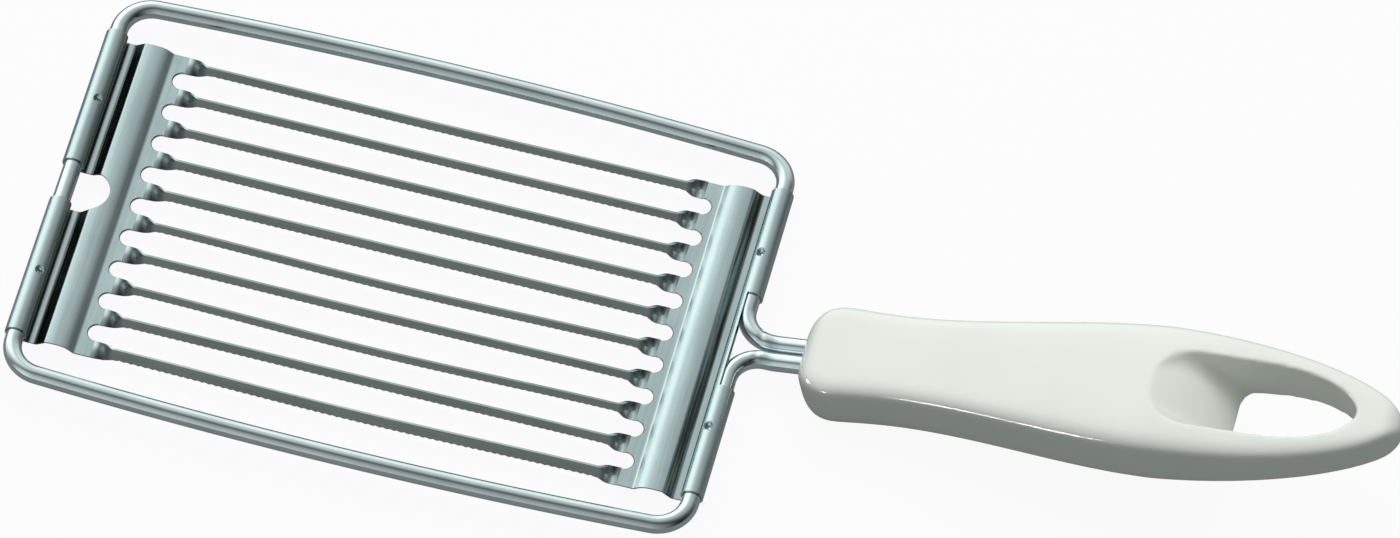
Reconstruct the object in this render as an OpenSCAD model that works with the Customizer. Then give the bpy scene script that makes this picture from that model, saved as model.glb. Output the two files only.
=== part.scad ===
// Hand slicer for eggs and soft food: a bent wire frame with two tangs in a
// moulded handle carries one stamped steel plate, whose ten strips are twisted
// on edge and toothed along their lower side.
// The rails and the ten strips are one stamping. They are separate nodes here,
// and meet face to face where each strip starts to twist.

/* [Frame wire] */
// Diameter of the wire
wire_d = 3.8; // [3:0.1:4.5]
// Length of the frame between the middles of its end wires
frame_len = 141.8; // [130:0.2:170]
// Width of the frame between the middles of its long sides, at their centre
frame_wid = 96.5; // [94:0.1:104]
// How far each long side bows outward
side_bow = 1.8; // [0.6:0.1:3]
// Radius of the frame's corners, at the middle of the wire
corner_r = 7; // [5:0.5:9]
// Radius of the bend from the end wire into each tang
tang_bend_r = 6.5; // [5:0.5:9]
// Radius of the upward bend in each tang
rise_bend_r = 12; // [8:1:16]
// Angle between the frame and the tangs, and so the handle
tang_rise = 12.4; // [6:0.2:18]
// Straight length of each tang in the open, before the handle
tang_free = 4.8; // [2:0.2:12]
// Length of each tang inside the handle
tang_seat = 38; // [25:1:50]
// Gap between the two tangs
tang_gap = 0.4; // [0.3:0.1:1.5]

/* [Blade plate] */
// Thickness of the sheet
sheet_t = 0.4; // [0.3:0.05:0.6]
// Number of blades
blade_count = 10; // [6:1:10]
// Distance from one blade to the next
blade_pitch = 8; // [7.4:0.1:8]
// Width of the slots between the strips, where they start
slot_w = 4; // [3.6:0.1:4.4]
// Length over which each strip twists on edge
twist_len = 4.4; // [3.5:0.1:8]
// Angle through which each strip is twisted
twist_angle = 96; // [80:1:100]
// Pitch of the fine teeth
tooth_pitch = 1.5; // [1:0.1:3]
// Depth of the fine teeth
tooth_h = 0.35; // [0.2:0.05:0.6]
// Height of the pressed stiffening bead along each rail
bead_h = 1.6; // [1.2:0.1:2]
// Width of the bead's foot
bead_w = 8.4; // [7:0.1:9]
// Flat land between the slots and the bead
root_land = 1.1; // [0.8:0.1:2]
// Flat land between the bead and the middle of the wire
roll_land = 4.1; // [3.4:0.1:6]
// Slope of the bead's sides
bead_slope = 40; // [30:1:45]
// Inner radius of the bead's rounded shoulders
crown_r = 2.8; // [0.6:0.1:3]
// Inner radius of the folds at the bead's feet
fold_r = 0.8; // [0.4:0.05:1]
// Angle of sheet rolled round the wire
curl_angle = 300; // [270:5:305]
// Gap between the wire and the sheet rolled round it
curl_gap = 0.05; // [0.03:0.01:0.15]
// Bare wire between the two rolled tubes of the far rail
far_bare = 9.6; // [6:0.2:14]
// Depth of the round notch in the far rail, from the middle of the wire
notch_depth = 9; // [6:0.2:10]
// Bare wire and tangs between the two rolled tubes of the near rail
near_bare = 23.4; // [22:0.2:30]
// How far the sheet between those two tubes stops short of the wire's middle
near_trim = 1; // [0:0.1:3]
// Diameter of the punch mark that locks each tube to the wire
stake_d = 1.9; // [1:0.1:2.4]
// Distance of each punch mark from the middle of the plate
stake_at = 21.8; // [18:0.2:26]
// How far both marks of the far rail sit off the middle
far_stake_shift = 1.3; // [0:0.1:2]
// Depth of the punch mark
stake_h = 0.3; // [0.1:0.05:0.35]

/* [Handle] */
// Length of the handle
handle_len = 125.6; // [115:0.2:150]
// Width of the handle behind its front end
front_wid = 23.6; // [20:0.2:26]
// Width of the handle at its waist
waist_wid = 22; // [19:0.2:24]
// Width of the handle at its widest
belly_wid = 32; // [28:0.2:38]
// Distance from the front end to the waist
waist_at = 20; // [16:1:26]
// Distance from the front end to the widest place
belly_at = 76; // [68:1:82]
// Thickness of the handle at its front
front_thk = 13.2; // [11:0.2:16]
// Thickness of the handle at its widest
belly_thk = 14.6; // [12:0.2:18]
// Thickness of the handle near its tail
tail_thk = 8; // [7:0.2:11]
// Rounding of the front end, seen from above
front_round = 8.5; // [4:0.5:9]
// Rounding of the front end, seen from the side
front_edge = 5; // [2:0.5:5.5]
// How square the handle's section is: 2 is an ellipse
section_power = 3; // [2.2:0.1:4]
// Width of the hanging hole at its widest
hole_wid = 17; // [12:0.5:19]
// Distance from the front end to the start of the thumb scoop
scoop_at = 77; // [74:0.5:82]
// Radius of the thumb scoop's floor
scoop_r = 30; // [24:1:40]
// Material between the hanging hole and the tail
tail_web = 8.4; // [6:0.2:12]
// Distance from the tangs down to the middle of the handle
handle_drop = 1.1; // [0:0.1:2]
// Gap between each tang and its bore in the handle
bore_gap = 0.05; // [0.02:0.01:0.2]

/* [Hidden] */

round_fn = 64;
wire_r = wire_d / 2;

// Places across and along the plate, measured from the middle of the plate.
plate_half_w = (blade_count * blade_pitch - slot_w) / 2;
strip_w = blade_pitch - slot_w;
slot_r = slot_w / 2;
end_x = frame_len / 2;
bead_x = end_x - roll_land - bead_w;
root_x = bead_x - root_land - slot_r;
blade_x = root_x - twist_len;

// The sheet lies at z = 0 and passes under the wire.
curl_r = wire_r + curl_gap + sheet_t / 2;
wire_z = curl_r;

// The long sides are arcs of a wide circle and blend into the corners.
corner_x = end_x - corner_r;
side_r = (corner_x * corner_x + side_bow * side_bow) / (2 * side_bow);
side_mid_y = frame_wid / 2 - side_r;
corner_y = side_mid_y + sqrt(pow(side_r - corner_r, 2) - corner_x * corner_x);
side_angle = asin(corner_x / (side_r - corner_r));

// The tangs lie side by side and leave the end wire on round bends.
tang_y = wire_r + tang_gap / 2;
tang_start_x = end_x + tang_bend_r;
bend_y = tang_y + tang_bend_r;
tang_len = tang_free + tang_seat;

// The middle of a rail's sheet: runs and bends from the slots out to the wire.
fold_mid_r = fold_r + sheet_t / 2;
crown_mid_r = crown_r + sheet_t / 2;
bends_rise = (fold_mid_r + crown_mid_r) * (1 - cos(bead_slope));
flank_len = (bead_h - bends_rise) / sin(bead_slope);
flank_w = (fold_mid_r + crown_mid_r) * sin(bead_slope) + flank_len * cos(bead_slope);
rail_moves = [
    [bead_x - root_x, 0],
    [fold_mid_r, bead_slope], [flank_len, 0], [crown_mid_r, -bead_slope],
    [bead_w - 2 * flank_w, 0],
    [crown_mid_r, -bead_slope], [flank_len, 0], [fold_mid_r, bead_slope],
    [end_x - bead_x - bead_w, 0],
    [curl_r, curl_angle]];
bend_step = 7.5;

// Where the handle's middle starts, under the tangs and parallel to them.
rise_x = rise_bend_r * sin(tang_rise);
rise_z = rise_bend_r * (1 - cos(tang_rise));
handle_x = tang_start_x + rise_x + tang_free * cos(tang_rise) + handle_drop * sin(tang_rise);
handle_z = wire_z + rise_z + tang_free * sin(tang_rise) - handle_drop * cos(tang_rise);

// Stations along the handle, closer together where its ends are rounded.
station_count = 42;
side_count = 48;
tail_power = 1.9;
tail_bluntness = 0.55;
end_trim = 0.002;
stations = [for (i = [0:station_count]) station(i / station_count)];

// The middle of the part's box, at the height of its lowest point, is the origin.
handle_points = [for (s = stations, a = [0:360 / side_count:359]) handle_point(s, a)];
blades_z = -strip_w / 2 * sin(twist_angle) - sheet_t / 2 * abs(cos(twist_angle));
lowest_z = min(blades_z, min([for (p = handle_points) p[2]]));
left_x = -end_x - curl_r - sheet_t / 2;
right_x = max([for (p = handle_points) p[0]]);
base = [-(left_x + right_x) / 2, 0, -lowest_z];

steel = [0.74, 0.77, 0.79];
chrome = [0.82, 0.85, 0.88];
blade_steel = [0.62, 0.66, 0.67];
cream = [0.90, 0.91, 0.88];

function blade_name(i) = str("blade_", i < 10 ? "0" : "", i);
function blend(a, b, t) = a + (b - a) * t * t * (3 - 2 * t);
function ramp(x, from, to) = max(0, min(1, (x - from) / (to - from)));

// Half circles bunch the stations towards both ends of the handle.
function station(t) = handle_len * (1 - cos(180 * t)) / 2;

// How much an edge rounded with radius r takes off at distance d from its end.
function rounding(d, r) = d >= r ? 0 : r - sqrt(max(0, r * r - (r - d) * (r - d)));

function tail_share(s) = s <= belly_at ? 1
    : pow(1 - pow((s - belly_at) / (handle_len - belly_at), tail_power), tail_bluntness);
function half_width(s) = tail_share(min(s, handle_len - end_trim)) *
    (s < waist_at ? blend(front_wid, waist_wid, ramp(s, 0, waist_at))
                  : blend(waist_wid, belly_wid, ramp(s, waist_at, belly_at))) / 2
    - rounding(max(s, end_trim), front_round);
function half_thickness(s) =
    (s < belly_at ? blend(front_thk, belly_thk, ramp(s, waist_at, belly_at))
                  : belly_thk + (tail_thk - belly_thk) * ramp(s, belly_at, handle_len)) / 2
    - rounding(max(s, end_trim), front_edge)
    - rounding(max(handle_len - s, end_trim), tail_thk / 2);

// A point of the handle's skin: s along its axis, a round its section.
function signed_power(v, p) = sign(v) * pow(abs(v), p);
function section_point(s, a) = [
    half_width(s) * signed_power(cos(a), 2 / section_power),
    half_thickness(s) * signed_power(sin(a), 2 / section_power)];
function handle_point(s, a) = let (p = section_point(s, a)) [
    handle_x + s * cos(tang_rise) - p[1] * sin(tang_rise),
    p[0],
    handle_z + s * sin(tang_rise) + p[1] * cos(tang_rise)];

module place() {
    translate(base) children();
}

// Stations along the wire's middle: place, heading seen from above, climb.
wire_sides = 20;
bend_steps = 9;
function turn(middle, r, from, to, first, steps) = [for (i = [first:steps])
    let (a = from + (to - from) * i / steps)
    [[middle[0] + r * cos(a), middle[1] + r * sin(a), 0],
     a + 90 * sign(to - from), 0]];
function climb(angle, run) = [
    [tang_start_x + rise_bend_r * sin(angle) + run * cos(angle), tang_y,
     rise_bend_r * (1 - cos(angle)) + run * sin(angle)], 0, angle];
half_wire = concat(
    turn([-corner_x, corner_y], corner_r, 180, 90 + side_angle, 0, bend_steps),
    turn([0, side_mid_y], side_r, 90 + side_angle, 90 - side_angle, 1, bend_steps),
    turn([corner_x, corner_y], corner_r, 90 - side_angle, 0, 1, bend_steps),
    turn([tang_start_x, bend_y], tang_bend_r, 180, 270, 0, bend_steps),
    [for (i = [1:bend_steps]) climb(tang_rise * i / bend_steps, 0)],
    [climb(tang_rise, tang_len)]);

function wire_ring(station) = let (
        at = station[0], heading = station[1], rise = station[2],
        across = [-sin(heading), cos(heading), 0],
        up = [-sin(rise) * cos(heading), -sin(rise) * sin(heading), cos(rise)])
    [for (k = [0:wire_sides - 1]) let (a = 360 * k / wire_sides)
        at + wire_r * (cos(a) * across + sin(a) * up)];

// Triangles that join rings of n points each into one skin, and its two ends.
function side_faces(rings, n) = [
    for (i = [0:rings - 2], k = [0:n - 1]) let (a = i * n, b = (k + 1) % n)
        each [[a + k, a + n + k, a + b], [a + b, a + n + k, a + n + b]]];
function skin_faces(rings, n) = let (last = (rings - 1) * n)
    concat(side_faces(rings, n),
           [[for (k = [0:n - 1]) k], [for (k = [n - 1:-1:0]) last + k]]);

module wire_frame() {
    half = [for (station = half_wire) wire_ring(station)];
    other = [for (i = [len(half) - 1:-1:0]) [for (p = half[i]) [p[0], -p[1], p[2]]]];
    rings = concat(other, half);
    color(chrome) place() translate([0, 0, wire_z])
        polyhedron(points = [for (ring = rings) each ring],
                   faces = skin_faces(len(rings), wire_sides));
}

// Follows runs [length, 0] and bends [radius, angle] of a sheet from x, y.
function trace(moves, x, y, heading, i = 0) = i == len(moves) ? [] : let (
        size = moves[i][0],
        angle = moves[i][1],
        side = sign(angle),
        steps = max(1, ceil(abs(angle) / bend_step)),
        stops = angle == 0
            ? [[x + size * cos(heading), y + size * sin(heading), heading]]
            : [for (j = [1:steps]) let (h = heading + angle * j / steps) [
                x + side * size * (sin(h) - sin(heading)),
                y - side * size * (cos(h) - cos(heading)), h]],
        end = stops[len(stops) - 1])
    concat(stops, trace(moves, end[0], end[1], end[2], i + 1));

function sheet_edge(middle, offset) = [for (p = middle)
    [p[0] - offset * sin(p[2]), p[1] + offset * cos(p[2])]];

// Section of a rail from the slots outward: land, bead, flat, roll.
module rail_section() {
    middle = concat([[root_x, 0, 0]], trace(rail_moves, root_x, 0, 0));
    upper = sheet_edge(middle, sheet_t / 2);
    lower = sheet_edge(middle, -sheet_t / 2);
    polygon(concat(lower, [for (i = [len(upper) - 1:-1:0]) upper[i]]));
}

module slot_ends() {
    for (i = [1:blade_count - 1])
        translate([root_x, (i - blade_count / 2) * blade_pitch, -2 * sheet_t])
            cylinder(h = 4 * sheet_t, r = slot_r, $fn = round_fn);
}

// Punch marks, one on each rolled tube, turned towards the blades.
stake_turn = 20;
module stakes(shift = 0) {
    for (side = [-1, 1]) translate([end_x, side * stake_at - shift, wire_z])
        rotate([0, -stake_turn, 0])
            translate([0, 0, curl_r + sheet_t / 2 - stake_h])
                cylinder(h = sheet_t, r = stake_d / 2, $fn = round_fn);
}

// A whole rail on the +X side of the plate, before it is cut for bare wire.
module rail(stake_shift = 0) {
    difference() {
        translate([0, plate_half_w, 0]) rotate([90, 0, 0])
            linear_extrude(2 * plate_half_w) rail_section();
        slot_ends();
        stakes(stake_shift);
    }
}

module far_rail() {
    notch_r = far_bare / 2;
    height = wire_z + curl_r + 3 * sheet_t;
    color(steel) place() difference() {
        mirror([1, 0, 0]) rail(far_stake_shift);
        translate([-end_x + notch_depth - notch_r, 0, -sheet_t]) {
            cylinder(h = height, r = notch_r, $fn = round_fn);
            translate([-2 * notch_depth, -notch_r, 0])
                cube([2 * notch_depth, far_bare, height]);
        }
    }
}

module near_rail() {
    height = wire_z + curl_r + 3 * sheet_t;
    color(steel) place() difference() {
        rail();
        translate([end_x - near_trim, -near_bare / 2, -sheet_t])
            cube([near_trim + 3 * curl_r, near_bare, height]);
    }
}

// The strip where it turns on edge, from its root at x = 0 to full twist. It is
// thinner than the blade by twice the step all round, and ends inside it.
twist_steps = 8;
twist_rows = 4;
twist_step = 0.01;
twist_w = strip_w - 2 * twist_step;
twist_t = sheet_t - 2 * twist_step;
twist_edge = [for (k = [0:twist_rows]) (k / twist_rows - 0.5) * twist_w];
twist_section = concat([for (k = [twist_rows:-1:0]) [twist_edge[k], -twist_t / 2]],
                       [for (y = twist_edge) [y, twist_t / 2]]);
function twist_ring(x, a) = [for (p = twist_section)
    [-x, p[0] * cos(a) - p[1] * sin(a), p[0] * sin(a) + p[1] * cos(a)]];
twist_rings = concat(
    [for (i = [0:twist_steps]) let (t = i / twist_steps)
        twist_ring(twist_len * t, blend(0, twist_angle, t))],
    [twist_ring(twist_len + sheet_t, twist_angle)]);

module strip_twist() {
    n = len(twist_section);
    last = (len(twist_rings) - 1) * n;
    ends = [for (k = [0:twist_rows - 1]) each [
        [k, k + 1, n - 2 - k, n - 1 - k],
        [last + n - 1 - k, last + n - 2 - k, last + k + 1, last + k]]];
    polyhedron(points = [for (ring = twist_rings) each ring],
               faces = concat(side_faces(len(twist_rings), n), ends));
}

// Side view of the straight part of a blade, with its row of teeth below.
tooth_lean = 0.1;
module blade_outline() {
    tooth_count = floor(2 * blade_x / tooth_pitch);
    first = -tooth_count * tooth_pitch / 2;
    top = strip_w / 2;
    polygon(concat([[-blade_x, top], [-blade_x, -top]],
        [for (i = [0:tooth_count - 1]) each [
            [first + (i + tooth_lean) * tooth_pitch, -top],
            [first + (i + 0.5) * tooth_pitch, -top + tooth_h]]],
        [[blade_x, -top], [blade_x, top]]));
}

module blade(i) {
    y = (i - (blade_count + 1) / 2) * blade_pitch;
    color(blade_steel) place() translate([0, y, 0]) {
        translate([root_x, 0, 0]) strip_twist();
        mirror([1, 0, 0]) translate([root_x, 0, 0]) strip_twist();
        rotate([twist_angle, 0, 0]) translate([0, 0, -sheet_t / 2])
            linear_extrude(sheet_t) blade_outline();
    }
}

module handle_skin() {
    rings = [for (s = stations) [for (k = [0:side_count - 1])
        handle_point(s, 360 * k / side_count)]];
    polyhedron(points = [for (ring = rings) each ring],
               faces = skin_faces(len(rings), side_count));
}

// Outline of the hanging hole and scoop, seen along the handle's thickness.
// Its corners' radii are shares of its width, from the scoop to the tail.
start_share = 0.36;
mid_share = 0.42;
tip_share = 0.28;
module hole_outline() {
    start_r = start_share * hole_wid;
    mid_r = mid_share * hole_wid;
    tip_r = tip_share * hole_wid;
    tip_x = handle_len - tail_web - tip_r;
    mid_x = tip_x - tip_r * 2;
    hull() {
        for (side = [-1, 1])
            translate([scoop_at + start_r, side * (hole_wid / 2 - start_r)])
                circle(r = start_r, $fn = round_fn);
        translate([mid_x, 0]) circle(r = mid_r, $fn = round_fn);
        translate([tip_x, 0]) circle(r = tip_r, $fn = round_fn);
    }
}

// Everything removed for the hole, above the scoop's round floor.
scoop_slope = 28;
module hole_cut() {
    depth = 2 * belly_thk;
    difference() {
        translate([0, 0, -depth / 2]) linear_extrude(depth) hole_outline();
        translate([scoop_at - scoop_r * sin(scoop_slope), 0,
                   belly_thk / 2 - scoop_r * cos(scoop_slope)])
            rotate([90, 0, 0]) translate([0, 0, -hole_wid])
                cylinder(h = 2 * hole_wid, r = scoop_r, $fn = 4 * round_fn);
    }
}

// Blind bores for the tangs; they start outside the handle by the overshoot.
overshoot = 1;
module tang_bores() {
    for (side = [-1, 1]) translate([-overshoot, side * tang_y, handle_drop]) rotate([0, 90, 0])
        cylinder(h = overshoot + tang_seat + bore_gap, r = wire_r + bore_gap, $fn = round_fn);
}

module handle() {
    color(cream) place() difference() {
        handle_skin();
        translate([handle_x, 0, handle_z]) rotate([0, -tang_rise, 0]) {
            tang_bores();
            hole_cut();
        }
    }
}

handle();
wire_frame();
far_rail();
near_rail();
for (i = [1:blade_count]) blade(i);
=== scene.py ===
"""Looks of the hand slicer: moulded handle, chromed wire, stamped blade plate."""
import math

import bmesh
import bpy
from mathutils import Matrix, Vector


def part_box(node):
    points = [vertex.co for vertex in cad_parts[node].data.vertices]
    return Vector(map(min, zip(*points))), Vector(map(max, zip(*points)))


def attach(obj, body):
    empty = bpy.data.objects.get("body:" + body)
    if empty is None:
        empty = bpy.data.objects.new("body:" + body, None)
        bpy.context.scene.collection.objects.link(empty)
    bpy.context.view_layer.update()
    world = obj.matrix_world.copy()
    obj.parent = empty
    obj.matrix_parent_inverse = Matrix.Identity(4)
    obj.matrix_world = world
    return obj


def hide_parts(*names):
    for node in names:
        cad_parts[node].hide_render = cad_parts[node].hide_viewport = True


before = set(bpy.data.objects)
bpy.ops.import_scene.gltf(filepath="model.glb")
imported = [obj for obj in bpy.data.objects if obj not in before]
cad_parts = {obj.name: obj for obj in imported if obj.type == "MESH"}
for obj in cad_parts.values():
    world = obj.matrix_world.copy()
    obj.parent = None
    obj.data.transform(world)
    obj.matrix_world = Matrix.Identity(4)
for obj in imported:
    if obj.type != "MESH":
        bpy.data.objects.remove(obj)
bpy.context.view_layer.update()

MM = 0.001
Y_AXIS, Z_AXIS = (0, 1, 0), (0, 0, 1)
# How near a point lies to a line when it counts as at it, or as on it.
AT, ON = 0.1 * MM, 0.01 * MM

# Frame wire
WIRE_R = 1.9 * MM
WIRE_SIDES = 40
END_X = 70.9 * MM
HALF_WIDTH = 48.25 * MM
SIDE_BOW = 1.8 * MM
CORNER_R = 7 * MM
TANG_BEND_R = 6.5 * MM
RISE_BEND_R = 12 * MM
TANG_RISE = math.radians(12.4)
TANG_FREE = 4.8 * MM
TANG_SEAT = 38 * MM
TANG_Y = 2.1 * MM
DIE_MARK_X, DIE_MARK_H = 75.2 * MM, 0.15 * MM

# Blade plate
SHEET = 0.4 * MM
BLADES = 10
PITCH = 8 * MM
STRIP_W = 4 * MM
SLOT_R = 2 * MM
PLATE_HALF = 38 * MM
SLOT_EDGE = 0.18 * MM
TWIST = math.radians(96)
TWIST_LEN = 4.4 * MM
NEAR_TWIST_LEN = 3.7 * MM
TWIST_NECK = 0.15
# What the press left in each strip, from the front one back: bow in millimetres
# and twist past the common one in degrees.
STRIP_BOWS = 0.65, 0.12, 0.8, 0.15, 0.7, 0, 0.2, 0, 0.1, 0.25
STRIP_TWISTS = -6, 0, 4.5, 2.5, 4.5, 0, 1, 3.5, 3, 3
TOOTH_PITCH = 1.5 * MM
TOOTH_H = 0.35 * MM
TOOTH_LEAN = 0.1
BEAD_H = 1.6 * MM
CREST_TILT = math.radians(8)
CREST_R = 11.2 * MM
INNER_SLOPE, INNER_FOLD_R, INNER_CROWN_R = math.radians(38), 1 * MM, 3.6 * MM
OUTER_SLOPE, OUTER_FOLD_R, OUTER_CROWN_R = math.radians(38), 0.4 * MM, 0.8 * MM
BEAD_W = 8.4 * MM
ROOT_LAND = 1.1 * MM
ROLL_LAND = 4.1 * MM
ROLL = math.radians(300)
ROLL_R = 2.15 * MM
FAR_BARE = 9.6 * MM
NOTCH_DEPTH = 9 * MM
NEAR_BARE = 23.4 * MM
NEAR_TRIM = 1 * MM
STAKE_R = 1.1 * MM
STAKE_AT = 21.8 * MM
STAKE_H = 1.1 * MM
STAKE_TURN = math.radians(20)
STAKE_POINT, STAKE_MOUTH = 0.15 * STAKE_R, 1.17 * STAKE_R
FAR_STAKE_SHIFT = 1.3 * MM

# Handle
HANDLE_LEN = 125.6 * MM
FRONT_W, WAIST_W, BELLY_W = 23 * MM, 21.3 * MM, 31 * MM
WAIST_AT, BELLY_AT = 20 * MM, 76 * MM
FRONT_T, BELLY_T, TAIL_T = 13.2 * MM, 14.6 * MM, 8 * MM
FRONT_ROUND, FRONT_EDGE = 8.5 * MM, 5 * MM
TAIL_POWER, TAIL_BLUNT = 1.9, 0.55
HOLE_W = 17 * MM
HOLE_START_R, HOLE_CORNER_R = 5 * MM, 4 * MM
HOLE_TIP_AT, HOLE_POWER, HOLE_BLUNT = 96 * MM, 2.3, 0.58
SCOOP_AT, SCOOP_R = 74 * MM, 33 * MM
SCOOP_SLOPE = math.radians(22)
TAIL_WEB = 9.4 * MM
HANDLE_DROP = 1.1 * MM
BORE_R, BORE_ROOM = 1.95 * MM, 0.1 * MM
# The bevel profile that gives the grip its squarish section, and the grain and
# passes that round the rims of its scoop and hole.
GRIP_SQUARENESS = 0.79
RIM_GRAIN, RIM_PASSES = 0.38 * MM, 22

WIRE_Z = ROLL_R
BEAD_X = END_X - ROLL_LAND - BEAD_W
ROOT_X = BEAD_X - ROOT_LAND - SLOT_R
BLADE_X = ROOT_X - TWIST_LEN
CORNER_X = END_X - CORNER_R
SIDE_R = (CORNER_X ** 2 + SIDE_BOW ** 2) / (2 * SIDE_BOW)
SIDE_MID_Y = HALF_WIDTH - SIDE_R
CORNER_Y = SIDE_MID_Y + math.sqrt((SIDE_R - CORNER_R) ** 2 - CORNER_X ** 2)
SIDE_ANGLE = math.asin(CORNER_X / (SIDE_R - CORNER_R))
TANG_START_X = END_X + TANG_BEND_R
BEND_Y = TANG_Y + TANG_BEND_R

# The middle of the plate, in the part's frame.
PLATE_PLACE = Vector((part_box("far_rail")[0].x + END_X + ROLL_R + SHEET / 2, 0,
                      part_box("wire_frame")[0].z + WIRE_R - WIRE_Z))
HANDLE_PLACE = PLATE_PLACE + Vector((
    TANG_START_X + (RISE_BEND_R + HANDLE_DROP) * math.sin(TANG_RISE)
    + TANG_FREE * math.cos(TANG_RISE), 0,
    WIRE_Z + RISE_BEND_R * (1 - math.cos(TANG_RISE))
    + TANG_FREE * math.sin(TANG_RISE) - HANDLE_DROP * math.cos(TANG_RISE)))


# Curves ---------------------------------------------------------------------

def smooth_step(t):
    t = min(1, max(0, t))
    return t * t * (3 - 2 * t)


def rounding(distance, radius):
    """How much a rounded end takes off a side, at a distance from the end."""
    if distance >= radius:
        return 0
    return radius - math.sqrt(max(0, radius ** 2 - (radius - distance) ** 2))


# Modelling by hand ----------------------------------------------------------

def take(piece):
    """Makes a piece the only one selected."""
    bpy.ops.object.select_all(action="DESELECT")
    piece.select_set(True)
    bpy.context.view_layer.objects.active = piece


def start_edit(piece):
    take(piece)
    bpy.ops.object.mode_set(mode="EDIT")
    bpy.ops.mesh.select_mode(type="VERT")
    bpy.ops.mesh.select_all(action="SELECT")


def end_edit():
    bpy.ops.object.mode_set(mode="OBJECT")


def pick(piece, test):
    """Selects the points whose place passes the test."""
    bpy.ops.mesh.select_all(action="DESELECT")
    mesh = bmesh.from_edit_mesh(piece.data)
    for point in mesh.verts:
        point.select = test(point.co)
    mesh.select_flush(True)
    bmesh.update_edit_mesh(piece.data)


def extrude(x, y, z):
    bpy.ops.mesh.extrude_region_move(TRANSFORM_OT_translate={"value": (x, y, z)})


def spin(angle, centre, axis, steps):
    """Sweeps what is selected round an axis, by the right-hand rule."""
    bpy.ops.mesh.spin(steps=steps, angle=-angle, center=centre, axis=axis)


def turn(angle, axis, **settings):
    """Turns what is selected round an axis of the part, by the right-hand rule."""
    bpy.ops.transform.rotate(value=-angle, orient_axis=axis, center_override=(0, 0, 0), **settings)


def stretch(x, y, z, centre=(0, 0, 0)):
    bpy.ops.transform.resize(value=(x, y, z), center_override=centre)


def slide(x, y, z, **settings):
    bpy.ops.transform.translate(value=(x, y, z), **settings)


def modify(piece, kind, **settings):
    """Adds a modifier, sets it and applies it."""
    take(piece)
    bpy.ops.object.modifier_add(type=kind)
    modifier = piece.modifiers[-1]
    for key, value in settings.items():
        setattr(modifier, key, value)
    bpy.ops.object.modifier_apply(modifier=modifier.name)


def cut(piece, cutter):
    modify(piece, "BOOLEAN", operation="DIFFERENCE", solver="EXACT", object=cutter)
    bpy.data.objects.remove(cutter)


def join(pieces):
    take(pieces[0])
    for piece in pieces[1:]:
        piece.select_set(True)
    bpy.ops.object.join()
    return bpy.context.object


def close_up(piece, angle=30):
    """Merges doubled points, turns faces outwards and shades smooth."""
    start_edit(piece)
    bpy.ops.mesh.remove_doubles(threshold=0.002 * MM)
    bpy.ops.mesh.normals_make_consistent(inside=False)
    end_edit()
    bpy.ops.object.shade_smooth_by_angle(angle=math.radians(angle))


def place(piece, name, where, slot, *nodes):
    """Moves a finished piece to its place and says what it stands for."""
    take(piece)
    slide(*where)
    bpy.ops.object.transform_apply(location=True, rotation=True, scale=True)
    piece.name = piece.data.name = name
    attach(piece, "root")
    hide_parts(*nodes)


def cylinder(radius, depth, at):
    bpy.ops.mesh.primitive_cylinder_add(vertices=64, radius=radius, depth=depth, location=at)
    piece = bpy.context.object
    bpy.ops.object.transform_apply(location=True, rotation=True, scale=True)
    return piece


def block(low, high):
    """A box between two corners, as a cutter."""
    size = Vector(high) - Vector(low)
    bpy.ops.mesh.primitive_cube_add(size=1, location=(Vector(high) + Vector(low)) / 2)
    piece = bpy.context.object
    start_edit(piece)
    stretch(*size, centre=piece.location)
    end_edit()
    bpy.ops.object.transform_apply(location=True, rotation=True, scale=True)
    return piece


def flat_sheet(x0, x1, y0, y1):
    """A flat sheet at z = 0, still without its thickness."""
    bpy.ops.mesh.primitive_plane_add(size=1)
    piece = bpy.context.object
    start_edit(piece)
    stretch(x1 - x0, y1 - y0, 1)
    slide((x0 + x1) / 2, (y0 + y1) / 2, 0)
    end_edit()
    return piece


# Frame wire -----------------------------------------------------------------

def make_wire_frame():
    bpy.ops.mesh.primitive_circle_add(vertices=WIRE_SIDES, radius=WIRE_R,
                                      location=(-END_X, 0, WIRE_Z), rotation=(math.pi / 2, 0, 0))
    wire = bpy.context.object
    bpy.ops.object.transform_apply(location=True, rotation=True, scale=True)
    start_edit(wire)
    corner = math.pi / 2 - SIDE_ANGLE
    extrude(0, CORNER_Y, 0)
    spin(-corner, (-CORNER_X, CORNER_Y, WIRE_Z), Z_AXIS, 16)
    spin(-2 * SIDE_ANGLE, (0, SIDE_MID_Y, WIRE_Z), Z_AXIS, 24)
    spin(-corner, (CORNER_X, CORNER_Y, WIRE_Z), Z_AXIS, 16)
    extrude(0, BEND_Y - CORNER_Y, 0)
    spin(math.pi / 2, (TANG_START_X, BEND_Y, WIRE_Z), Z_AXIS, 18)
    spin(-TANG_RISE, (TANG_START_X, TANG_Y, WIRE_Z + RISE_BEND_R), Y_AXIS, 6)
    run = TANG_FREE + TANG_SEAT
    extrude(run * math.cos(TANG_RISE), 0, run * math.sin(TANG_RISE))
    bpy.ops.mesh.edge_face_add()
    end_edit()
    modify(wire, "MIRROR", use_axis=(False, True, False), merge_threshold=0.005 * MM)
    start_edit(wire)
    for side in (-1, 1):
        pick(wire, lambda p: (abs(p.x - DIE_MARK_X) < 0.5 * MM and 0 < side * p.y < HALF_WIDTH / 2
                              and p.z > WIRE_Z + 0.6 * WIRE_R))
        slide(0, -side * 0.5 * DIE_MARK_H, -DIE_MARK_H)
    end_edit()
    close_up(wire)
    cut(wire, punches())
    far = punches(FAR_STAKE_SHIFT)
    start_edit(far)
    stretch(-1, 1, 1)
    bpy.ops.mesh.flip_normals()
    end_edit()
    cut(wire, far)
    close_up(wire, 40)
    place(wire, "bent_wire_frame", PLATE_PLACE, "frame_chrome", "wire_frame")
    return wire


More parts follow.
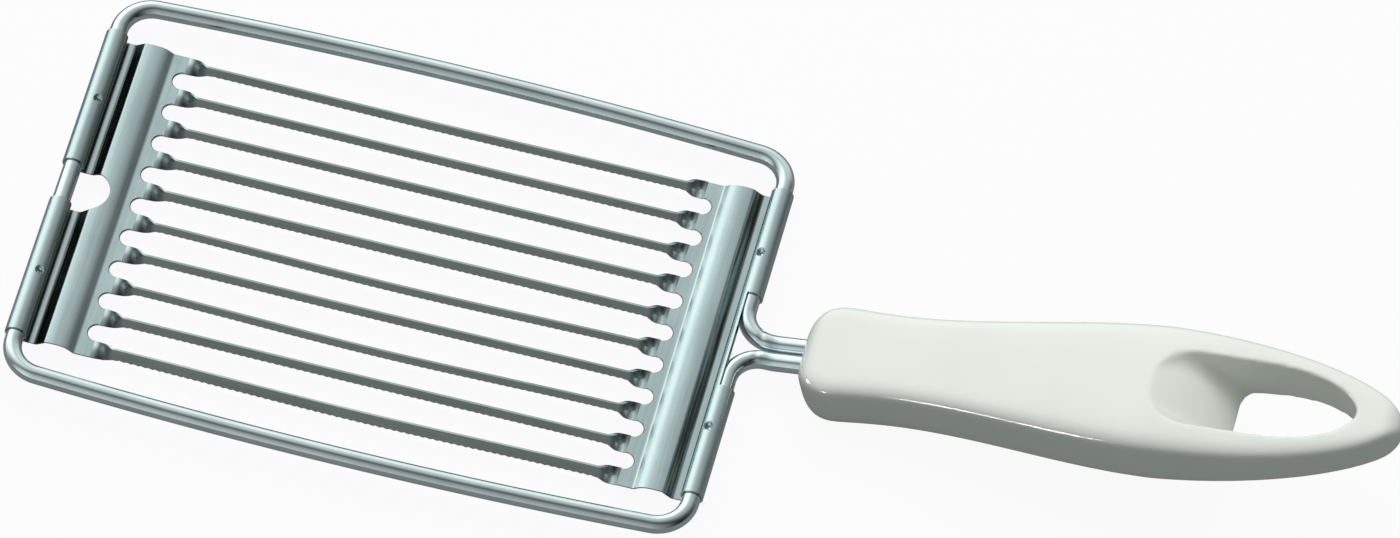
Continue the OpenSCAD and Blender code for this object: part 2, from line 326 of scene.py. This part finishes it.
# Blade plate ----------------------------------------------------------------

def follow(moves, x, z):
    """Takes the selected edge of a sheet through straight runs and folds."""
    heading = 0
    for size, angle in moves:
        if angle:
            side = math.copysign(size, angle)
            middle = x - side * math.sin(heading), z + side * math.cos(heading)
            spin(-angle, (middle[0], 0, middle[1]), Y_AXIS,
                 max(3, math.ceil(abs(math.degrees(angle)) / 5)))
            heading += angle
            x = middle[0] + side * math.sin(heading)
            z = middle[1] - side * math.cos(heading)
        else:
            run = size * math.cos(heading), 0, size * math.sin(heading)
            extrude(*run)
            x, z = x + run[0], z + run[2]
    return x


def bend_height(radius, slope, to_slope=0):
    return radius * (math.cos(to_slope) - math.cos(slope))


def folded_rail():
    """A rail on the +X side: land, bead, flat and roll, as one sheet."""
    crest_side = BEAD_H - bend_height(CREST_R, CREST_TILT)
    inner = (crest_side - bend_height(INNER_FOLD_R, INNER_SLOPE)
             - bend_height(INNER_CROWN_R, INNER_SLOPE, CREST_TILT)) / math.sin(INNER_SLOPE)
    outer = (crest_side - bend_height(OUTER_FOLD_R, OUTER_SLOPE)
             - bend_height(OUTER_CROWN_R, OUTER_SLOPE, CREST_TILT)) / math.sin(OUTER_SLOPE)
    rail = flat_sheet(ROOT_X, BEAD_X, -PLATE_HALF, PLATE_HALF)
    start_edit(rail)
    pick(rail, lambda p: p.x > BEAD_X - AT)
    x = follow([(INNER_FOLD_R, INNER_SLOPE), (inner, 0),
                (INNER_CROWN_R, CREST_TILT - INNER_SLOPE), (CREST_R, -2 * CREST_TILT),
                (OUTER_CROWN_R, CREST_TILT - OUTER_SLOPE), (outer, 0),
                (OUTER_FOLD_R, OUTER_SLOPE)], BEAD_X, 0)
    follow([(END_X - x, 0), (ROLL_R, ROLL)], x, 0)
    end_edit()
    modify(rail, "SOLIDIFY", thickness=SHEET, offset=0, use_even_offset=True)
    slots = [(i - BLADES / 2) * PITCH for i in range(1, BLADES)]
    cut(rail, join([cylinder(SLOT_R, 4 * SHEET, (ROOT_X, y, 0)) for y in slots]))
    start_edit(rail)
    pick(rail, lambda p: p.z > 0 and p.x > ROOT_X + 2 * ON and any(
        abs(math.hypot(p.x - ROOT_X, p.y - y) - SLOT_R) < ON for y in slots))
    bpy.ops.mesh.bevel(offset=SLOT_EDGE, segments=1, affect="EDGES")
    end_edit()
    return rail


def stake_punch(y):
    """The blunt tool that dents the roll and the wire in it."""
    surface = ROLL_R + SHEET / 2
    bpy.ops.mesh.primitive_cone_add(vertices=40, radius1=STAKE_POINT, radius2=STAKE_MOUTH,
                                    depth=1.2 * STAKE_H, location=(0, 0, surface - 0.4 * STAKE_H))
    punch = bpy.context.object
    bpy.ops.object.transform_apply(location=True, rotation=True, scale=True)
    start_edit(punch)
    turn(-STAKE_TURN, "Y")
    slide(END_X, y, WIRE_Z)
    end_edit()
    return punch


def punches(shift=0):
    return join([stake_punch(side * STAKE_AT - shift) for side in (-1, 1)])


def finish_rail(rail, name, node, stake_shift=0):
    cut(rail, punches(stake_shift))
    if node == "far_rail":
        start_edit(rail)
        stretch(-1, 1, 1)
        end_edit()
    close_up(rail, 28)
    place(rail, name, PLATE_PLACE, "plate_steel", node)
    return rail


def make_near_rail():
    rail = folded_rail()
    cut(rail, block((END_X - NEAR_TRIM, -NEAR_BARE / 2, -SHEET),
                    (END_X + 2 * ROLL_R, NEAR_BARE / 2, 3 * ROLL_R)))
    return finish_rail(rail, "rail_near_handle", "near_rail")


def make_far_rail():
    rail = folded_rail()
    notch_r = FAR_BARE / 2
    notch_x = END_X - NOTCH_DEPTH + notch_r
    cut(rail, cylinder(notch_r, 8 * ROLL_R, (notch_x, 0, 0)))
    cut(rail, block((notch_x, -notch_r, -4 * ROLL_R), (END_X + 2 * ROLL_R, notch_r, 4 * ROLL_R)))
    return finish_rail(rail, "rail_far_end", "far_rail", FAR_STAKE_SHIFT)


def twist_end(blade, side, length, steps=14):
    """Takes one end of a blade back to flat, out to the rail, with a slight neck."""
    pick(blade, lambda p: side * p.x > BLADE_X - AT)
    done, wide = 0, 1
    for i in range(1, steps + 1):
        t = i / steps
        now = TWIST * (t + smooth_step(t)) / 2
        neck = 1 - TWIST_NECK * math.sin(math.pi * t)
        extrude(side * length / steps, 0, 0)
        turn(done - now, "X")
        stretch(1, neck / wide, neck / wide)
        done, wide = now, neck


def toothed_blade():
    """A strip on edge, toothed below, with both ends twisted flat."""
    teeth = int(2 * BLADE_X / TOOTH_PITCH)
    length = teeth * TOOTH_PITCH
    bpy.ops.mesh.primitive_grid_add(x_subdivisions=2 * teeth, y_subdivisions=4, size=1)
    blade = bpy.context.object
    start_edit(blade)
    stretch(length, STRIP_W, 1)

    def lower_edge(parity):
        return lambda p: (p.y < -0.49 * STRIP_W and abs(p.x) < length / 2 - AT
                          and round((p.x + length / 2) / TOOTH_PITCH * 2) % 2 == parity)

    pick(blade, lower_edge(1))
    slide(0, TOOTH_H, 0)
    pick(blade, lower_edge(0))
    slide(TOOTH_LEAN * TOOTH_PITCH, 0, 0)
    for side in (-1, 1):
        pick(blade, lambda p: side * p.x > length / 2 - AT)
        extrude(side * (BLADE_X - length / 2), 0, 0)
    bpy.ops.mesh.select_all(action="SELECT")
    turn(TWIST, "X")
    pick(blade, lambda p: p.x > BLADE_X - AT)
    extrude(TWIST_LEN - NEAR_TWIST_LEN, 0, 0)
    twist_end(blade, 1, NEAR_TWIST_LEN)
    twist_end(blade, -1, TWIST_LEN)
    end_edit()
    modify(blade, "SOLIDIFY", thickness=SHEET, offset=0)
    close_up(blade, 40)
    return blade


def settle(blade, bow, twist):
    """Gives a blade its own bow and twist, easing out into its ends."""
    start_edit(blade)
    pick(blade, lambda p: abs(p.x) < BLADE_X + ON)
    turn(twist, "X", use_proportional_edit=True, proportional_edit_falloff="LINEAR",
         proportional_size=NEAR_TWIST_LEN)
    pick(blade, lambda p: abs(p.x) < TOOTH_PITCH)
    slide(0, -bow, 0, use_proportional_edit=True, proportional_edit_falloff="SMOOTH",
          proportional_size=BLADE_X)
    end_edit()


def make_blades():
    first = toothed_blade()
    blades = [first]
    for _ in range(BLADES - 1):
        take(first)
        bpy.ops.object.duplicate_move(OBJECT_OT_duplicate={"linked": False})
        blades.append(bpy.context.object)
    for blade, bow, twist in zip(blades, STRIP_BOWS, STRIP_TWISTS):
        settle(blade, bow * MM, math.radians(twist))
    for i, blade in enumerate(blades, 1):
        middle = PLATE_PLACE + Vector((0, (i - (BLADES + 1) / 2) * PITCH, 0))
        place(blade, f"toothed_blade_{i:02d}", middle, "plate_steel", f"blade_{i:02d}")
    return blades


# Handle ---------------------------------------------------------------------

def handle_width(s):
    wide = (FRONT_W + (WAIST_W - FRONT_W) * smooth_step(s / WAIST_AT) if s < WAIST_AT else
            WAIST_W + (BELLY_W - WAIST_W) * smooth_step((s - WAIST_AT) / (BELLY_AT - WAIST_AT)))
    if s > BELLY_AT:
        share = (s - BELLY_AT) / (HANDLE_LEN - BELLY_AT)
        wide *= (1 - share ** TAIL_POWER) ** TAIL_BLUNT
    return wide - 2 * rounding(s, FRONT_ROUND)


def handle_thickness(s):
    if s < BELLY_AT:
        thick = FRONT_T + (BELLY_T - FRONT_T) * smooth_step((s - WAIST_AT) / (BELLY_AT - WAIST_AT))
    else:
        thick = BELLY_T + (TAIL_T - BELLY_T) * (s - BELLY_AT) / (HANDLE_LEN - BELLY_AT)
    return thick - 2 * rounding(s, FRONT_EDGE) - 2 * rounding(HANDLE_LEN - s, TAIL_T / 2)


def stations(length, steps, margin):
    """Places along a length, closer together at its two ends, which they don't touch."""
    rounded = [length * (1 - math.cos(math.pi * i / steps)) / 2 for i in range(steps + 1)]
    return [min(length - margin, max(margin, along)) for along in rounded]


def grip_body(rings=90):
    """The solid grip: a rounded section drawn along the handle's axis."""
    first, *others = stations(HANDLE_LEN, rings, 0.002 * MM)
    bpy.ops.mesh.primitive_plane_add(size=1)
    grip = bpy.context.object
    start_edit(grip)
    bpy.ops.mesh.bevel(offset_type="OFFSET", offset=0.5, segments=16, profile=GRIP_SQUARENESS,
                       affect="VERTICES")
    bpy.ops.mesh.remove_doubles(threshold=1e-5)
    bpy.ops.mesh.select_all(action="SELECT")
    turn(math.pi / 2, "Y")
    wide, thick = handle_width(first), handle_thickness(first)
    stretch(1, wide, thick)
    slide(first, 0, 0)
    before = first
    for s in others:
        extrude(s - before, 0, 0)
        stretch(1, handle_width(s) / wide, handle_thickness(s) / thick, (s, 0, 0))
        before, wide, thick = s, handle_width(s), handle_thickness(s)
    end_edit()
    close_up(grip)
    return grip


def scoop_floor(x):
    """Height of the thumb scoop's floor, a round ramp down through the hole."""
    across = x - SCOOP_AT + SCOOP_R * math.sin(SCOOP_SLOPE)
    middle = BELLY_T / 2 - SCOOP_R * math.cos(SCOOP_SLOPE)
    return max(-BELLY_T, middle + math.sqrt(max(0, SCOOP_R ** 2 - across ** 2)))


def hole_width(x):
    wide = HOLE_W - 2 * rounding(x - SCOOP_AT, HOLE_START_R)
    if x > HOLE_TIP_AT:
        share = (x - HOLE_TIP_AT) / (HANDLE_LEN - TAIL_WEB - HOLE_TIP_AT)
        wide *= (1 - share ** HOLE_POWER) ** HOLE_BLUNT
    return wide


def hole_plug(steps=48):
    """The plug that leaves the scoop and the hanging hole: a trough's section."""
    top = BELLY_T
    length = HANDLE_LEN - TAIL_WEB - SCOOP_AT
    x, *others = [SCOOP_AT + along for along in stations(length, steps, 0.02 * MM)]
    bpy.ops.mesh.primitive_plane_add(size=1)
    plug = bpy.context.object
    start_edit(plug)
    turn(math.pi / 2, "Y")
    floor, wide = scoop_floor(x), hole_width(x)
    stretch(1, HOLE_W, top - floor)
    slide(x, 0, (top + floor) / 2)
    pick(plug, lambda p: p.z < floor + AT)
    bpy.ops.mesh.bevel(offset_type="OFFSET", offset=HOLE_CORNER_R, segments=10, affect="VERTICES")
    bpy.ops.mesh.select_all(action="SELECT")
    stretch(1, wide / HOLE_W, 1)
    before = x
    for x in others:
        extrude(x - before, 0, 0)
        stretch(1, hole_width(x) / wide, 1)
        pick(plug, lambda p: p.x > x - ON and p.z < top - AT)
        slide(0, 0, scoop_floor(x) - floor)
        pick(plug, lambda p: p.x > x - ON)
        before, floor, wide = x, scoop_floor(x), hole_width(x)
    end_edit()
    close_up(plug)
    return plug


def make_handle():
    grip = grip_body()
    cut(grip, hole_plug())
    modify(grip, "REMESH", mode="VOXEL", voxel_size=RIM_GRAIN)
    modify(grip, "SMOOTH", factor=0.5, iterations=RIM_PASSES)
    for side in (-1, 1):
        bore = cylinder(BORE_R + BORE_ROOM, 2 * TANG_SEAT, (0, 0, 0))
        start_edit(bore)
        turn(math.pi / 2, "Y")
        slide(0, side * TANG_Y, HANDLE_DROP)
        end_edit()
        cut(grip, bore)
    start_edit(grip)
    turn(-TANG_RISE, "Y")
    end_edit()
    close_up(grip, 40)
    place(grip, "moulded_handle", HANDLE_PLACE, "handle_plastic", "handle")
    return grip


# Materials ------------------------------------------------------------------

class Value:
    """A socket that adds, subtracts and multiplies as numbers do."""

    def __init__(self, recipe, socket):
        self.recipe, self.socket = recipe, socket

    def math(self, operation, *others):
        node = self.recipe.node("ShaderNodeMath", {"operation": operation},
                                {0: self, **{i: o for i, o in enumerate(others, 1)}})
        return Value(self.recipe, node.outputs[0])

    def __add__(self, other):
        return self.math("ADD", other)

    def __mul__(self, other):
        return self.math("MULTIPLY", other)

    def __sub__(self, other):
        return self.math("SUBTRACT", other)

    def __rsub__(self, other):
        return self * -1 + other

    __radd__ = __add__
    __rmul__ = __mul__


class Recipe:
    """A node tree being written."""

    def __init__(self, owner):
        owner.use_nodes = True
        self.tree = owner.node_tree
        self.tree.nodes.clear()

    def node(self, kind, settings=None, inputs=None):
        node = self.tree.nodes.new(kind)
        for key, value in (settings or {}).items():
            if key == "stops":
                ramp = node.color_ramp
                while len(ramp.elements) < len(value):
                    ramp.elements.new(0.5)
                for element, (at, colour) in zip(ramp.elements, value):
                    element.position, element.color = at, (*colour, 1)
            else:
                setattr(node, key, value)
        for key, value in (inputs or {}).items():
            socket = node.inputs[key]
            if isinstance(value, Value):
                value = value.socket
            if isinstance(value, bpy.types.NodeSocket):
                self.tree.links.new(value, socket)
            else:
                socket.default_value = value
        return node

    def coordinates(self, scale):
        """Object coordinates, stretched by a scale along each axis."""
        source = self.node("ShaderNodeTexCoord").outputs["Object"]
        return self.node("ShaderNodeMapping", inputs={"Vector": source, "Scale": scale}).outputs[0]

    def across(self, middle):
        """Distance along X from a middle."""
        source = self.node("ShaderNodeTexCoord").outputs["Object"]
        parts = self.node("ShaderNodeSeparateXYZ", inputs={0: source})
        return Value(self, parts.outputs[0]) - middle

    def noise(self, scale, detail=3, along=(1, 1, 1)):
        node = self.node("ShaderNodeTexNoise", inputs={
            "Vector": self.coordinates(along), "Scale": scale, "Detail": detail})
        return Value(self, node.outputs[0])

    def between(self, value, low, high, to_low=0.0, to_high=1.0):
        """Maps a value from one range to another, with soft ends."""
        node = self.node("ShaderNodeMapRange", {"interpolation_type": "SMOOTHSTEP"}, {
            "Value": value, "From Min": low, "From Max": high,
            "To Min": to_low, "To Max": to_high})
        return Value(self, node.outputs[0])

    def graded(self, value, stops):
        """Reads a level off a row of stops, from -1 to 1."""
        node = self.node("ShaderNodeValToRGB",
                         {"stops": [((at + 1) / 2, (level,) * 3) for at, level in stops]},
                         {0: value * 0.5 + 0.5})
        return Value(self, node.outputs[0])

    def mixed(self, share, first, second):
        node = self.node("ShaderNodeMix", {"data_type": "RGBA"},
                         {0: share, 6: self.colour(first), 7: self.colour(second)})
        return node.outputs[2]

    @staticmethod
    def colour(value):
        return (*value, 1) if isinstance(value, tuple) else value

    def bump(self, height, distance, strength=1.0):
        return self.node("ShaderNodeBump", inputs={
            "Height": height, "Distance": distance, "Strength": strength}).outputs[0]

    def surface(self, **sockets):
        shader = self.node("ShaderNodeBsdfPrincipled", inputs={
            key.replace("_", " "): value for key, value in sockets.items()})
        self.node("ShaderNodeOutputMaterial", inputs={"Surface": shader.outputs[0]})


def new_material(name):
    material = bpy.data.materials.new(name)
    return material, Recipe(material)


def dress(material, *pieces):
    for piece in pieces:
        piece.data.materials.clear()
        piece.data.materials.append(material)


def moulded_plastic():
    material, r = new_material("handle_cream_plastic")
    cloud = r.noise(55, 2)
    speck = r.noise(1500, 2)
    peel = r.noise(420, 2)
    tone = r.between(cloud * 0.8 + speck * 0.2, 0.2, 0.8)
    r.surface(Base_Color=r.mixed(tone, (0.78, 0.81, 0.76), (0.81, 0.84, 0.79)),
              Roughness=r.between(cloud * 0.6 + peel * 0.4, 0.2, 0.8, 0.1, 0.17),
              Normal=r.bump(peel, 0.01 * MM, 0.3),
              IOR=1.5)
    return material


def chrome():
    material, r = new_material("frame_bright_chrome")
    cloud = r.noise(120, 3)
    fine = r.noise(2600, 4)
    tone = r.mixed(r.between(cloud, 0.3, 0.7), (0.66, 0.765, 0.79), (0.72, 0.82, 0.84))
    r.surface(Base_Color=tone,
              Metallic=1.0,
              Roughness=r.between(cloud * 0.5 + fine * 0.5, 0.35, 0.65, 0.05, 0.13),
              Normal=r.bump(cloud, 0.01 * MM, 0.15))
    return material


def rail_steel():
    material, r = new_material("plate_satin_steel")
    grain = r.noise(1400, 3, (1, 0.03, 1))
    cloud = r.noise(70, 3)
    fine = r.noise(3000, 3)
    across = r.across(PLATE_PLACE.x)
    out = across.math("ABSOLUTE")
    # Painted shade at the foot of each bead, for the roll's dark side mirrored in the riser, and a
    # painted shadow along the far roll's edge.
    foot, seam = END_X - ROLL_LAND, END_X - ROLL_R
    painted_foot_shade = (r.between(out, foot - 2.2 * MM, foot - 1.5 * MM)
              * (1 - r.between(out, foot + 0.1 * MM, foot + 0.6 * MM))
              * r.between(grain, 0.3, 0.6, 0.65, 1))
    painted_roll_shadow = (r.between(across, -seam - 0.15 * MM, -seam + 0.15 * MM)
             * (1 - r.between(across, -seam + 0.4 * MM, -seam + 0.8 * MM)))
    unshaded = r.mixed(r.between(cloud * 0.5 + grain * 0.5, 0.3, 0.7),
                    (0.46, 0.565, 0.58), (0.54, 0.65, 0.665))
    # The painted shade and the painted shadow darken the base colour to near black.
    r.surface(Base_Color=r.mixed(painted_foot_shade.math("MAXIMUM", painted_roll_shadow), unshaded, (0.05, 0.052, 0.045)),
              Metallic=1.0,
              Roughness=r.between(grain * 0.6 + cloud * 0.4, 0.3, 0.7, 0.2, 0.33),
              Normal=r.bump(grain + fine * 0.4, 0.006 * MM, 0.5))
    return material


def blade_steel():
    material, r = new_material("blade_honed_steel")
    grain = r.noise(1800, 3, (0.03, 1, 1))
    cloud = r.noise(60, 3)
    out = r.across(PLATE_PLACE.x).math("ABSOLUTE")
    # Painted shade on the twisted necks, darkened into the base colour; the roots ease back to the
    # rails' steel tone.
    painted_twist_shade = r.between(out, BLADE_X, BLADE_X + 1.2 * MM)
    root = r.between(out, ROOT_X - 2.2 * MM, ROOT_X - 0.1 * MM)
    unshaded = r.mixed(r.between(cloud * 0.5 + grain * 0.5, 0.3, 0.7),
                    (0.49, 0.585, 0.56), (0.61, 0.71, 0.685))
    tone = r.mixed(root, r.mixed(painted_twist_shade, unshaded, (0.27, 0.33, 0.33)), (0.5, 0.61, 0.625))
    r.surface(Base_Color=tone,
              Metallic=1.0,
              Roughness=r.between(grain * 0.6 + cloud * 0.4, 0.3, 0.7, 0.22, 0.36),
              Normal=r.bump(grain, 0.006 * MM, 0.3))
    return material


# Camera, light and floor ----------------------------------------------------

def make_camera():
    """A long lens, well above the part and a little to its handle side."""
    azimuth, elevation, roll = math.radians(9.86), math.radians(57), math.radians(5.22)
    distance = 2500 * MM
    # The frame's width in pixels, and its pixels to the metre at the plate.
    width, scale = 1400, 4.8942 / MM
    # How far the plate's middle lies from the frame's.
    off_x, off_y = -61.072 * MM, -0.091 * MM
    back = Vector((math.sin(azimuth) * math.cos(elevation),
                   -math.cos(azimuth) * math.cos(elevation), math.sin(elevation)))
    right = Vector((math.cos(azimuth), math.sin(azimuth), 0))
    up = back.cross(right)
    right, up = (right * math.cos(roll) + up * math.sin(roll),
                 up * math.cos(roll) - right * math.sin(roll))
    bpy.ops.object.camera_add()
    camera = bpy.context.object
    camera.data.sensor_width = 36
    camera.data.lens = scale * distance * camera.data.sensor_width / width
    camera.data.clip_start, camera.data.clip_end = 0.1, 20
    at = PLATE_PLACE + back * distance - right * off_x - up * off_y
    camera.matrix_world = Matrix.Translation(at) @ Matrix((right, up, back)).transposed().to_4x4()
    bpy.context.scene.camera = camera


def soft_lamp(at, aim, size, power):
    bpy.ops.object.light_add(type="AREA", location=at)
    lamp = bpy.context.object
    lamp.data.shape = "RECTANGLE"
    lamp.data.size, lamp.data.size_y = size
    lamp.data.energy = power
    lamp.rotation_euler = (Vector(at) - Vector(aim)).to_track_quat("Z", "Y").to_euler()
    return lamp


def make_floor():
    bpy.ops.mesh.primitive_plane_add(size=4, location=(0, 0, -0.2 * MM))
    floor = bpy.context.object
    floor.name = "floor"
    material, r = new_material("floor_white")
    rays = r.node("ShaderNodeLightPath")
    seen = Value(r, rays.outputs["Is Camera Ray"])
    mirrored = Value(r, rays.outputs["Is Glossy Ray"])
    paper = r.node("ShaderNodeBsdfDiffuse", inputs={"Color": (0.27, 0.3, 0.28, 1)})
    white = r.node("ShaderNodeEmission", inputs={
        "Color": (1, 1, 1, 1), "Strength": 1.1 - mirrored * 0.86})
    both = r.node("ShaderNodeMixShader", inputs={
        0: seen * 0.85 + mirrored * 0.8, 1: paper.outputs[0], 2: white.outputs[0]})
    r.node("ShaderNodeOutputMaterial", inputs={"Surface": both.outputs[0]})
    dress(material, floor)


# How bright the studio looks in the metal, from front to back and from the far
# end of the plate to the handle, at places from -1 to 1 along each direction.
FRONT_TO_BACK = ((-1, 0.5), (-0.9, 0.42), (-0.6, 0.3), (-0.3, 0.1), (-0.1, 0.22), (0.1, 0.4),
                 (0.35, 0.6), (0.55, 0.62), (0.75, 0.95), (0.92, 1), (1, 0.8))
FAR_TO_NEAR = ((-1, 0.7), (-0.8, 1), (-0.6, 1), (-0.35, 0.74), (-0.1, 0.45), (0.2, 0.35),
               (0.5, 0.27), (0.8, 0.1), (1, 0.07))
MIRROR_LEVEL = 2.45
# How bright it is for all that doesn't mirror.
AMBIENT = 0.27
# Place, size and power of the two small lamps that polish the handle alone.
HANDLE_LAMPS = (((-0.21, -0.6, 0.065), (0.07, 0.13), 0.75),
                ((-0.55, -0.15, 0.08), (0.16, 0.16), 1.6))


def make_light():
    world = bpy.data.worlds.new("studio")
    bpy.context.scene.world = world
    r = Recipe(world)
    heading = r.node("ShaderNodeTexCoord").outputs["Generated"]
    parts = r.node("ShaderNodeSeparateXYZ", inputs={0: heading})
    rays = r.node("ShaderNodeLightPath")
    glossy = Value(r, rays.outputs["Is Glossy Ray"])
    seen = Value(r, rays.outputs["Is Camera Ray"])
    mirrored = (r.graded(Value(r, parts.outputs[1]), FRONT_TO_BACK)
                * r.graded(Value(r, parts.outputs[0]), FAR_TO_NEAR) * MIRROR_LEVEL)
    level = glossy * mirrored + (1 - glossy) * (seen + (1 - seen) * AMBIENT)
    shade = r.node("ShaderNodeBackground", inputs={
        "Color": (0.96, 1.0, 0.98, 1), "Strength": level})
    r.node("ShaderNodeOutputWorld", inputs={"Surface": shade.outputs[0]})
    top = soft_lamp((-0.22, 0.55, 1.1), (0.05, 0, 0), (1.1, 0.8), 13.9)
    top.visible_glossy = False


def make_handle_lights(handle):
    """Small lamps that show in the handle's gloss, and light nothing else."""
    polished = bpy.data.collections.new("polished")
    polished.objects.link(handle)
    for at, size, power in HANDLE_LAMPS:
        spark = soft_lamp(at, (0.05, 0, 0.02), size, power)
        spark.visible_diffuse = spark.visible_camera = False
        spark.light_linking.receiver_collection = polished


wire = make_wire_frame()
rails = [make_near_rail(), make_far_rail()]
blades = make_blades()
handle = make_handle()
dress(chrome(), wire)
dress(rail_steel(), *rails)
dress(blade_steel(), *blades)
dress(moulded_plastic(), handle)
make_floor()
make_light()
make_handle_lights(handle)
make_camera()
bpy.context.scene.view_settings.view_transform = "Standard"
